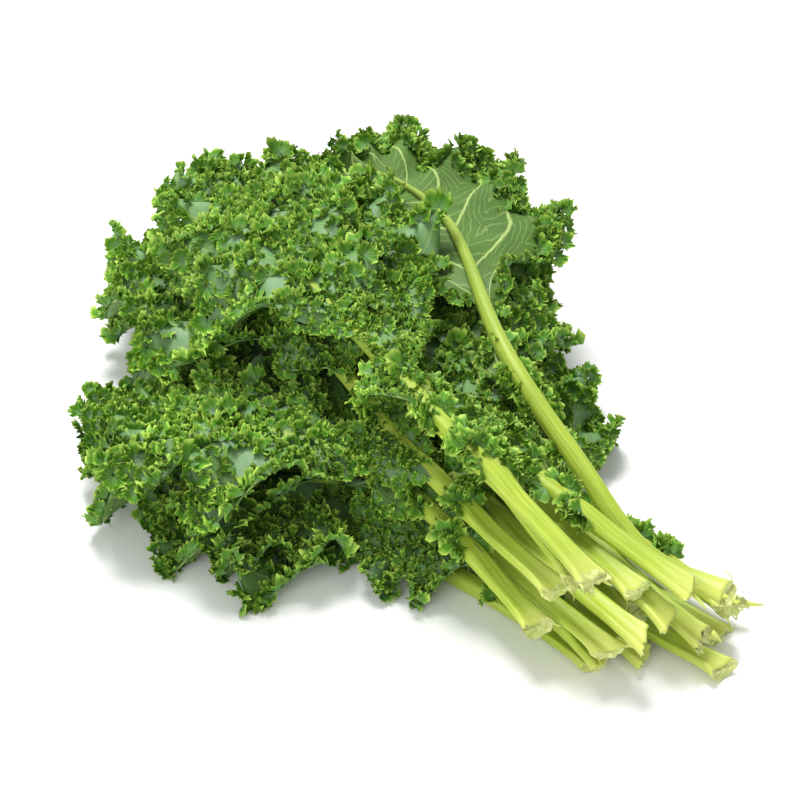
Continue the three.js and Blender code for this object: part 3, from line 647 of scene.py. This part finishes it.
class Frill:
    """Grows one leaf's curls, at random places that are kept apart."""

    def __init__(self, leaf, bm):
        self.leaf, self.bm = leaf, bm
        self.draw = random.Random(leaf.index)
        self.solids = solid_tree([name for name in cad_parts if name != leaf.name + "_blade"])
        self.planted = []

    def curl_size(self, at):
        least = NECK_CURL if climb_of(at) < NECK_CLIMB else LEAST_CURL
        return clamp(vein_length(self.leaf, at) * CURL_GROWTH, least, LARGEST_CURL)

    def tint(self, place, open_):
        # Painted shade: the fewer looks out of its place are free, the darker the curl
        tint = TINT_LEAST + PAINTED_SHADE_PER_LOOK * open_ + self.draw.uniform(-TINT_SPREAD, TINT_SPREAD)
        tint += TINT_DRIFT * noise.noise(place * TINT_PITCH)
        darker = DARKER_BY if self.leaf.index in DARKER_LEAVES else 0
        tint -= TINT_HIGH * ease(*TINT_HEIGHTS, place.z) + darker
        return clamp(tint)

    def lean(self, kind, place, share):
        lean = self.draw.uniform(*(FAN_LEAN if kind % 2 else BOWL_LEAN))
        if share > RIM_SHARE:
            lean *= RIM_LEAN
        if place.z < LOW:
            lean += LOW_LEAN
        if place.z > HEAP_TOP - NEAR_TOP:
            lean *= TOP_LEAN
        return math.radians(lean)

    def hides_rib(self, middle, size):
        rib, _, _, gap = bare_ribs.find_nearest(middle)
        over = gap < RIB_CLEARANCE and middle.z > rib.z - BELOW_RIB
        return not self.leaf.face_down and (gap < RIB_TOUCH * size or over)

    def try_curl(self, at, share, size, spacing, turn):
        """Plants a curl, turned on the blade from the way out to the margin, where it has space."""
        leaf = self.leaf
        place, out = skin(leaf, at, share)
        if any((place - other).length < spacing * size for other in self.planted):
            return
        ahead = leaf.settled(at, share + STEP_OUT) - leaf.settled(at, share - STEP_OUT)
        beside = leaf.settled(min(1, at + STEP_ROUND), share) - leaf.settled(max(0, at - STEP_ROUND), share)
        up = beside.cross(ahead)
        if up.length < NO_LENGTH or ahead.length < NO_LENGTH:
            return
        up = up.normalized() * (1 if up.dot(out) > 0 else -1)
        ahead.normalize()
        if leaf.face_down:
            up = -up
        lookouts = place + up * LOOK_UP, place + ahead * LOOK_AHEAD
        open_ = max(openness(self.solids, lookout) for lookout in lookouts)
        if open_ < LEAST_OPEN:
            return
        room = self.solids.ray_cast(place + up, up, ROOM_ABOVE)[3] or ROOM_ABOVE
        size *= clamp(CRAMPED + room / ROOMY, LEAST_GROWTH, 1)
        kind = self.draw.randrange(CURL_KINDS)
        lean = self.lean(kind, place, share)
        heading = Matrix.Rotation(math.radians(turn), 3, up) @ ahead
        side = up.cross(heading)
        heading = heading * math.cos(lean) + up * math.sin(lean)
        if self.hides_rib(place + heading * size * CURL_MIDDLE, size):
            return
        curls = fine_curls if open_ > FINE_OPEN and size > FINE_SIZE else plain_curls
        tint = self.tint(place, open_)
        plant(self.bm, curls[kind], place - up * CURL_SUNK, heading.cross(side), heading, size, tint)
        self.planted.append(place)

    def grow_rim(self):
        draw, darts = self.draw, self.leaf.columns * RIM_DARTS
        share = (DOWN_EDGE if self.leaf.face_down else UP_EDGE) + RIM_OUT
        for i in range(darts):
            at = clamp((i + draw.uniform(*RIM_JITTER)) / darts)
            if vein_length(self.leaf, at) > RIM_VEIN or climb_of(at) > NECK_CLIMB:
                self.try_curl(at, share, self.curl_size(at) * draw.uniform(*RIM_GROWTH), RIM_SPACING,
                              draw.uniform(-RIM_TURN, RIM_TURN))

    def is_smooth(self, at, share):
        place = skin(self.leaf, at, share)[0]
        if self.leaf.face_down and share < SMOOTH_SHARE and noise.noise(place * SMOOTH_PITCH) < SMOOTH_LEVEL:
            return True
        if climb_of(at) < NECK_CLIMB and vein_length(self.leaf, at) < FACE_VEIN:
            return True
        return PATCH_SHARES[0] < share < PATCH_SHARES[1] and noise.noise(place * PATCH_PITCH) > PATCH_LEVEL

    def grow_face(self):
        draw = self.draw
        for _ in range(FACE_DARTS):
            at = draw.random()
            share = draw.uniform(*(DOWN_SHARES if self.leaf.face_down else UP_SHARES))
            if not self.is_smooth(at, share):
                self.try_curl(at, share, self.curl_size(at) * draw.uniform(*FACE_GROWTH), FACE_SPACING,
                              draw.choice((-1, 1)) * draw.uniform(*FACE_TURN))

    def grow_tufts(self):
        """The leaflets on both sides of the petiole."""
        leaf, draw = self.leaf, self.draw
        for _ in range(TUFT_DARTS):
            from_neck = draw.uniform(*TUFT_PLACES)
            side = draw.choice((-1, 1))
            centre, across, out = leaf.frame(from_neck)
            base = centre + across * side * TUFT_SIDE * leaf.girth(from_neck)[0] - FOOTPRINT_CENTRE
            base.z += leaf.stalk_lift(from_neck)
            up = out if out.z > 0 else -out
            heading = across * side * draw.uniform(*TUFT_ASIDE) + up * draw.uniform(*TUFT_UP)
            heading = (heading + leaf.spine.at(from_neck)[1] * draw.uniform(*TUFT_AHEAD)).normalized()
            face = (up + across * side * draw.uniform(-1, 1)).cross(heading).cross(heading).normalized()
            grows = noise.noise(Vector((leaf.index * LEAF_PITCH, from_neck * TUFT_PITCH, side))) > 0
            if grows and openness(self.solids, base + up * TUFT_LOOK) > TUFT_OPEN:
                plant(self.bm, draw.choice(fine_curls), base, face, heading, draw.uniform(*TUFT_SIZES),
                      draw.uniform(*TUFT_TINTS))


def grow_blade(leaf, materials):
    bm = start_mesh()
    grow_sheet(leaf, bm)
    frill = Frill(leaf, bm)
    frill.grow_rim()
    frill.grow_face()
    frill.grow_tufts()
    for v in bm.verts:
        v.co.z = max(v.co.z, FLOOR)
    finish_piece(leaf.name + "_leaf", bm, leaf.name + "_blade", "blade", *materials)


# ---------------- stalks
STALK_SIDES = 28
STALK_RINGS = 56
STALK_SEED = 500
RING_POWER = 1.3  # the rings lie closer together towards the cut end
STALK_FLOOR = 0.05
FLARE_FADE = 7
# The stalk's outline: how square it is, how far its side edges lie below its top and the keel below them,
# how wide its groove is, and the powers of its keel
SQUARENESS = 0.8
EAVES, KEEL = 0.34, 0.66
GROOVE_SIDE = 0.72
KEEL_POWERS = (2.2, 0.62)
LIFT_FADE = 1.6  # how fast the rise of the midrib's top dies away down its sides
STALK_RIBS = ((0.022, 14, 1), (0.012, 34, 2))  # height, count of half waves, and how they differ by leaf
GROOVES = (0.42, 0.16)  # depth of the groove at the cut end and up the petiole
GROOVE_FADE = 40
CREST = (1.5, 0.5)  # how far the midrib stands out of the blade's upper face, below the neck and past it
CREST_CHANGE = (-20, 40)
RAISING = (-WING_LENGTH - 20, -WING_LENGTH + 4)  # where the stalk rises to its blade
GROOVE_END = (-WING_LENGTH - 20, -WING_LENGTH + 20)
CUT_LENGTH, TEAR_LENGTH = 14, 5
CUT_INSETS = ((0.5, -0.3), (0.9, -0.4))  # width and depth of the steps in from the rim of the cut face
# How each stalk ends: slant of the cut across it, how deep its rim is torn, and how far its underside
# sticks out past its top, all in millimetres
ENDS = [
    (3, 0.6, -2), (-4, 0.8, -3), (2, 0.6, 3), (1, 2.0, -2), (2, 2.4, 6), (-2, 1.0, -2),
    (3, 2.8, 5), (-3, 2.4, 2), (-5, 0.8, -3), (4, 1.2, -2), (-7, 1.0, -2), (1, 0.8, 2),
    (-4, 0.5, -4), (0, 0.4, -3), (1, 0.8, 4), (2, 0.8, 3), (1, 2.2, 9), (2, 2.2, 5),
]
# How green each stalk is, from 0, the palest
STALK_TINTS = [0.3, 0.5, 0.3, 0.4, 0.6, 0.3, 0.6, 0.2, 0.4, 0.3, 0.5, 0.2, 0.1, 0.35, 0.3, 0.2, 0.4, 0.2]
# Strips of torn skin at some of the ends: the leaf, the place round its rim, length, width, how far the strip
# curls in degrees, and how far it strays sideways
STRIPS = [
    (7, 0.55, 13, 2.6, 70, 3), (7, 0.62, 11, 1.0, 200, -2), (7, 0.72, 14, 0.8, 240, 3),
    (7, 0.82, 10, 1.1, 170, 5), (7, 0.92, 12, 2.4, 50, -3), (7, 0.3, 6, 2.2, -80, 2),
    (13, 0.7, 14, 2.4, 25, -2), (13, 0.6, 9, 0.9, 150, 3), (14, 0.75, 13, 0.9, 210, -3),
    (14, 0.65, 10, 2.0, 90, 2), (10, 0.42, 12, 3.0, 20, 2), (10, 0.9, 7, 1.2, 80, -1),
    (17, 0.7, 8, 2.6, 30, 1), (17, 0.85, 6, 1.6, 50, -1), (5, 0.6, 7, 1.4, 40, 1), (5, 0.8, 8, 1.8, 30, -2),
    (18, 0.62, 7, 1.6, 50, 1), (18, 0.8, 8, 1.2, 70, -1), (4, 0.6, 6, 2.0, 80, 2),
    (8, 0.55, 7, 2.6, 70, -2), (15, 0.55, 6, 1.4, 60, 1), (12, 0.9, 8, 1.0, 120, 2),
]
STRIP_SEGMENTS = 12
STRIP_ROOT, STRIP_OVERLAP = 0.9, 2  # where a strip grows in the stalk, and how far back from the cut
STRIP_NARROWING = 0.75
STRIP_FLOOR, STRIP_THICKNESS = 0.7, 0.5
STRIP_TINT = 0.3
STRIP_GROOVE = 0.4


def flared(leaf, place):
    """Half width and depth of the stalk, with a smooth flare at its cut end."""
    from_end = place + leaf.spine.neck
    if from_end >= FLARE_LENGTH:
        return leaf.girth(place)
    swell = math.exp(-max(0, from_end) / FLARE_FADE)
    wide, deep = leaf.girth(FLARE_LENGTH - leaf.spine.neck)
    return mix(wide, STALK_HALF_WIDTHS[0], swell), mix(deep, STALK_DEPTHS[0], swell)


def stalk_corner(leaf, u, place, raised, groove):
    """A point round the stalk, across and up from its line: u runs from its right side over the top."""
    wide, deep = flared(leaf, place)
    turn = 2 * math.pi * u
    x = math.copysign(abs(math.cos(turn)) ** SQUARENESS, math.cos(turn))
    if math.sin(turn) >= 0:
        y = -EAVES * abs(x) ** 4 - groove * (1 - min(1, abs(x) / GROOVE_SIDE) ** 2)
    else:
        y = -EAVES - KEEL * (1 - abs(x) ** KEEL_POWERS[0]) ** KEEL_POWERS[1]
    ridge = 1
    for height, count, shift in STALK_RIBS:
        ridge += height * math.sin(count * math.pi * u + shift * leaf.index)
    lift = raised * clamp(1 + y * LIFT_FADE)
    return x * wide * ridge, y * deep * ridge - RIB_DROP + lift


def grow_stalk(leaf, materials):
    draw = random.Random(STALK_SEED + leaf.index)
    bm = start_mesh()
    start, end = -leaf.spine.neck, leaf.rib_end
    slant, torn, keel = ENDS[leaf.index - 1]
    tears = [draw.uniform(-1, 1) for _ in range(STALK_SIDES + 1)]
    tears[-1] = tears[0]
    for v, u, along in sheet_grid(bm, STALK_SIDES, STALK_RINGS):
        place = mix(start, end, along ** RING_POWER)
        near_end = 1 - ease(0, CUT_LENGTH, place - start)
        side, top = math.cos(2 * math.pi * u), math.sin(2 * math.pi * u)
        tear = tears[round(u * STALK_SIDES)] * torn * (1 - ease(0, TEAR_LENGTH, place - start))
        cut = (slant * side + keel * max(0, top) ** 0.5) * near_end + tear
        raised = ease(*RAISING, place) * (RIB_DROP + mix(*CREST, ease(*CREST_CHANGE, place)))
        groove = mix(*GROOVES, ease(0, GROOVE_FADE, place - start)) * (1 - ease(*GROOVE_END, place))
        centre, across, out = leaf.frame(place + cut)
        x, y = stalk_corner(leaf, u, place, raised, groove)
        v.co = centre + across * x + out * y - FOOTPRINT_CENTRE
        v.co.z = max(v.co.z + leaf.stalk_lift(place), STALK_FLOOR)
        set_corner(bm, v, clamp((place - start) / (end - start)), STALK_TINTS[leaf.index - 1], u, place / 10)
    bmesh.ops.remove_doubles(bm, verts=bm.verts, dist=SAME_PLACE)
    caps = bmesh.ops.holes_fill(bm, edges=[e for e in bm.edges if e.is_boundary])["faces"]
    cut_face = max(caps, key=lambda f: f.calc_center_median().x)
    cut_face.material_index = 1
    bmesh.ops.recalc_face_normals(bm, faces=bm.faces)
    for thickness, depth in CUT_INSETS:
        for f in bmesh.ops.inset_region(bm, faces=[cut_face], thickness=thickness, depth=depth)["faces"]:
            f.material_index = 1
    bmesh.ops.poke(bm, faces=[cut_face])
    for owner, *facts in STRIPS:
        if owner == leaf.index:
            tear_strip(bm, leaf, *facts)
    finish_piece(leaf.name + "_stem", bm, leaf.name + "_stalk", "stalk", *materials)


def tear_strip(bm, leaf, u, length, width, bend, stray):
    """A strip of skin torn loose at the cut end, on an arc that curls away from the stalk."""
    start = -leaf.spine.neck
    centre, across, out = leaf.frame(start)
    x, y = stalk_corner(leaf, u, start, 0, STRIP_GROOVE)
    from_centre = across * x + out * y
    away = from_centre.normalized()
    root = centre + from_centre * STRIP_ROOT + Vector((0, 0, leaf.stalk_lift(start))) - FOOTPRINT_CENTRE
    ahead = -leaf.spine.at(start)[1]
    beside = ahead.cross(away)
    turn = math.radians(bend)
    radius = length / turn
    grid = sheet_grid(bm, 2, STRIP_SEGMENTS)
    for v, aside, along in grid:
        narrow = 1 - STRIP_NARROWING * along ** 2
        v.co = root + ahead * (radius * math.sin(turn * along) - STRIP_OVERLAP) \
            + away * radius * (1 - math.cos(turn * along)) \
            + beside * ((aside - 0.5) * width * narrow + stray * along ** 2)
        v.co.z = max(v.co.z, STRIP_FLOOR)
        set_corner(bm, v, 0, STRIP_TINT, aside * 0.1, along)
    faces = {f for v, _, _ in grid for f in v.link_faces}
    bmesh.ops.solidify(bm, geom=list(faces), thickness=STRIP_THICKNESS)


# ---------------- materials
NOISE_ROUGHNESS = 0.55


class Value:
    """A socket whose sums and products are Math nodes."""

    def __init__(self, finish, socket):
        self.finish, self.socket = finish, socket

    def math(self, operation, *inputs):
        return self.finish.node("ShaderNodeMath", {"operation": operation}, dict(enumerate(inputs)))[0]

    def __add__(self, other):
        return self.math("ADD", self, other)

    def __sub__(self, other):
        return self.math("SUBTRACT", self, other)

    def __rsub__(self, other):
        return self.math("SUBTRACT", other, self)

    def __mul__(self, other):
        return self.math("MULTIPLY", self, other)

    def __abs__(self):
        return self.math("ABSOLUTE", self)

    __radd__ = __add__
    __rmul__ = __mul__

    def fraction(self):
        return self.math("FRACT", self)

    def larger(self, other):
        return self.math("MAXIMUM", self, other)

    def between(self, low, high):
        """0 below low and 1 above high, with a soft step from one to the other."""
        return self.finish.node("ShaderNodeMapRange", {"interpolation_type": "SMOOTHSTEP"},
                                {"Value": self, "From Min": low, "From Max": high})[0]


class Finish:
    """A material whose nodes are made by methods. Sockets whose names repeat are given by number."""

    def __init__(self, name):
        self.material = bpy.data.materials.new(name)
        self.material.use_nodes = True
        self.nodes = self.material.node_tree.nodes
        self.nodes.clear()

    def node(self, kind, settings, inputs):
        made = self.nodes.new(kind)
        for key, value in settings.items():
            setattr(made, key, value)
        for key, value in inputs.items():
            socket = made.inputs[key]
            if isinstance(value, Value):
                self.material.node_tree.links.new(value.socket, socket)
            elif socket.type == "RGBA":
                socket.default_value = (*value, 1)
            else:
                socket.default_value = value
        return [Value(self, socket) for socket in made.outputs]

    def blend(self, factor, first, second, kind="MIX"):
        """The mix node's colours are its sockets 6 and 7 and its output 2."""
        return self.node("ShaderNodeMix", {"data_type": "RGBA", "blend_type": kind},
                         {0: factor, 6: first, 7: second})[2]

    def shade(self, colour, value):
        grey = self.node("ShaderNodeCombineColor", {}, {0: value, 1: value, 2: value})[0]
        return self.blend(1.0, colour, grey, "MULTIPLY")

    def attribute(self, name):
        return self.node("ShaderNodeAttribute", {"attribute_name": name}, {})[2]

    def vein_map(self):
        return self.node("ShaderNodeUVMap", {"uv_map": "veins"}, {})[0]

    def place(self):
        """The place in the object's own space."""
        return self.node("ShaderNodeTexCoord", {}, {})[3]

    def noise(self, place, scale, detail=4):
        return self.node("ShaderNodeTexNoise", {},
                         {"Vector": place, "Scale": scale, "Detail": detail, "Roughness": NOISE_ROUGHNESS})[0]

    def bump(self, height, strength, distance):
        return self.node("ShaderNodeBump", {},
                         {"Strength": strength, "Distance": distance, "Height": height})[0]

    def surface(self, **inputs):
        named = {key.replace("_", " "): value for key, value in inputs.items()}
        shader = self.node("ShaderNodeBsdfPrincipled", {}, named)
        self.node("ShaderNodeOutputMaterial", {}, {"Surface": shader[0]})
        return self.material


def colour(red, green, blue):
    """Linear colour from the usual 0 to 255."""
    return tuple(((c / 255 + 0.055) / 1.055) ** 2.4 if c > 10 else c / 255 / 12.92
                 for c in (red, green, blue))


def blade_finish(name, lamina, bloom_and_sheen, frill, rim_and_highlight, vein, veins_show):
    """Bloom is the waxy bluish film that lies in patches on the smooth parts; its pale bluish colour is also
    a painted sheen of reflected light, stronger on the more open curls.
    """
    f = Finish(name)
    u, v, _ = f.node("ShaderNodeSeparateXYZ", {}, {0: f.vein_map()})
    edge, tint = f.attribute("edge"), f.attribute("tint")
    broad = f.noise(f.place(), 38)
    fine = f.noise(f.place(), 420, 3)
    off = abs(u.fraction() - 0.5)
    main = 1 - off.between(0.014, 0.05)
    branch = abs((v * 7 + off * 5 + broad * 3).fraction() - 0.5)
    branches = (1 - branch.between(0.02, 0.12)) * 0.35
    lines = main.larger(branches) * veins_show
    ripples = abs((u * 3 + broad * 2).fraction() - 0.5) * edge
    # Patches of waxy film and painted sheen, stronger where the tint marks an open place
    patches = f.noise(f.place(), 60).between(0.42, 0.6) * tint.between(0.1, 0.7)
    green = f.blend(edge.between(0.15, 0.6), f.blend(patches, lamina, bloom_and_sheen), frill)
    green = f.blend(lines * (1 - edge.between(0.4, 0.85)), green, vein)
    green = f.blend((broad - 0.5).between(-0.05, 0.2) * 0.3, green, frill)
    # The rim colour is partly the edges' own paler green and partly a painted highlight of light on and
    # through the thin edges
    green = f.blend(edge.between(0.68, 1.0), green, rim_and_highlight)
    # The tint carries a painted shade that darkens closed-in curls, besides their uneven tone
    green = f.shade(green, 0.62 + 0.5 * broad + 0.14 * fine + 0.36 * (tint - 0.5))
    relief = fine * 0.4 - lines * 0.5 + ripples * 0.8
    return f.surface(Base_Color=green, Roughness=0.44 + 0.2 * fine, Specular_IOR_Level=0.3,
                     Normal=f.bump(relief, 0.45, 0.0008))


def stalk_finish(shaded, lit, broad_green, cut_end, upper_green):
    f = Finish("pale stalk")
    stretched = f.node("ShaderNodeMapping", {}, {"Vector": f.vein_map(), "Scale": (30, 0.35, 1)})[0]
    streaks = f.noise(stretched, 1, 4)
    broad = f.noise(f.place(), 30)
    up_stalk, tint = f.attribute("edge"), f.attribute("tint")
    rind = f.blend(streaks.between(0.3, 0.7), shaded, lit)
    rind = f.blend(broad.between(0.35, 0.7) * 0.5, rind, broad_green)
    rind = f.blend(1 - up_stalk.between(0.0, 0.08), rind, cut_end)
    rind = f.blend(up_stalk.between(0.15, 0.7) * tint.between(-0.4, 1.0), rind, upper_green)
    return f.surface(Base_Color=rind, Roughness=0.36 + 0.2 * broad, Specular_IOR_Level=0.35,
                     Normal=f.bump(streaks, 0.4, 0.0006), Subsurface_Weight=0.25,
                     Subsurface_Radius=(1.0, 1.0, 0.3), Subsurface_Scale=0.003)


def cut_finish(moist, dry, browned):
    f = Finish("cut face")
    stretched = f.node("ShaderNodeMapping", {}, {"Vector": f.place(), "Scale": (0.3, 1, 1)})[0]
    fibres = f.noise(stretched, 700, 3)
    pith = f.blend(fibres.between(0.35, 0.65), moist, dry)
    pith = f.blend(f.noise(f.place(), 160).between(0.5, 0.75) * 0.4, pith, browned)
    return f.surface(Base_Color=pith, Roughness=0.5 + 0.2 * fibres, Normal=f.bump(fibres, 0.4, 0.0005),
                     Subsurface_Weight=0.2, Subsurface_Radius=(1.0, 1.0, 0.4), Subsurface_Scale=0.003)


blade_finishes = (
    blade_finish("leaf top", lamina=colour(98, 140, 74), bloom_and_sheen=colour(126, 158, 122),
                 frill=colour(84, 138, 28), rim_and_highlight=colour(180, 212, 88), vein=colour(142, 172, 104),
                 veins_show=0.6),
    blade_finish("leaf underside", lamina=colour(82, 118, 48), bloom_and_sheen=colour(108, 142, 78),
                 frill=colour(82, 126, 36), rim_and_highlight=colour(168, 204, 80), vein=colour(176, 200, 118),
                 veins_show=0.95),
)
stalk_finishes = (
    stalk_finish(shaded=colour(154, 175, 50), lit=colour(184, 202, 78), broad_green=colour(144, 172, 46),
                 cut_end=colour(196, 206, 102), upper_green=colour(116, 144, 66)),
    cut_finish(moist=colour(184, 196, 104), dry=colour(214, 222, 146), browned=colour(178, 168, 92)),
)

for leaf in leaves:
    grow_blade(leaf, blade_finishes)
    grow_stalk(leaf, stalk_finishes)

# ---------------- floor, light and camera
FLOOR_HALF = 6
bm = bmesh.new()
bmesh.ops.create_grid(bm, x_segments=1, y_segments=1, size=FLOOR_HALF)
floor_mesh = bpy.data.meshes.new("floor")
bm.to_mesh(floor_mesh)
bm.free()
floor_mesh.materials.append(Finish("plain pale floor").surface(Base_Color=(0.93, 0.93, 0.93), Roughness=0.9))
floor = bpy.data.objects.new("floor", floor_mesh)
bpy.context.scene.collection.objects.link(floor)


def lamp(name, place, size, power):
    data = bpy.data.lights.new(name, "AREA")
    data.shape, data.size, data.energy = "DISK", size, power
    light = bpy.data.objects.new(name, data)
    light.location = place
    light.rotation_euler = Vector(place).to_track_quat("Z", "Y").to_euler()
    bpy.context.scene.collection.objects.link(light)


lamp("key", (-0.5, 0.1, 1.7), 0.8, 36)
lamp("fill", (0.6, -1.3, 0.8), 1.2, 10)
WORLD_STRENGTH = 0.6
world = bpy.data.worlds.new("studio")
bpy.context.scene.world = world
world.use_nodes = True
world.node_tree.nodes["Background"].inputs["Color"].default_value = (1, 1, 1, 1)
world.node_tree.nodes["Background"].inputs["Strength"].default_value = WORLD_STRENGTH
bpy.context.scene.view_settings.view_transform = "Standard"

CAMERA_TURN = math.radians(53)
CAMERA_RISE = math.radians(38)
CAMERA_DISTANCE = 1.0
CAMERA_LENS, CAMERA_SENSOR = 86.4, 36
AIM_HEIGHT = 50
aim = (Vector((0, 0, AIM_HEIGHT)) - FOOTPRINT_CENTRE) * MM
back = Vector((math.sin(CAMERA_TURN) * math.cos(CAMERA_RISE), -math.cos(CAMERA_TURN) * math.cos(CAMERA_RISE),
               math.sin(CAMERA_RISE)))
camera_data = bpy.data.cameras.new("camera")
camera_data.sensor_width = CAMERA_SENSOR
camera_data.lens = CAMERA_LENS
camera = bpy.data.objects.new("camera", camera_data)
camera.location = aim + back * CAMERA_DISTANCE
camera.rotation_euler = back.to_track_quat("Z", "Y").to_euler()
bpy.context.scene.collection.objects.link(camera)
bpy.context.scene.camera = camera
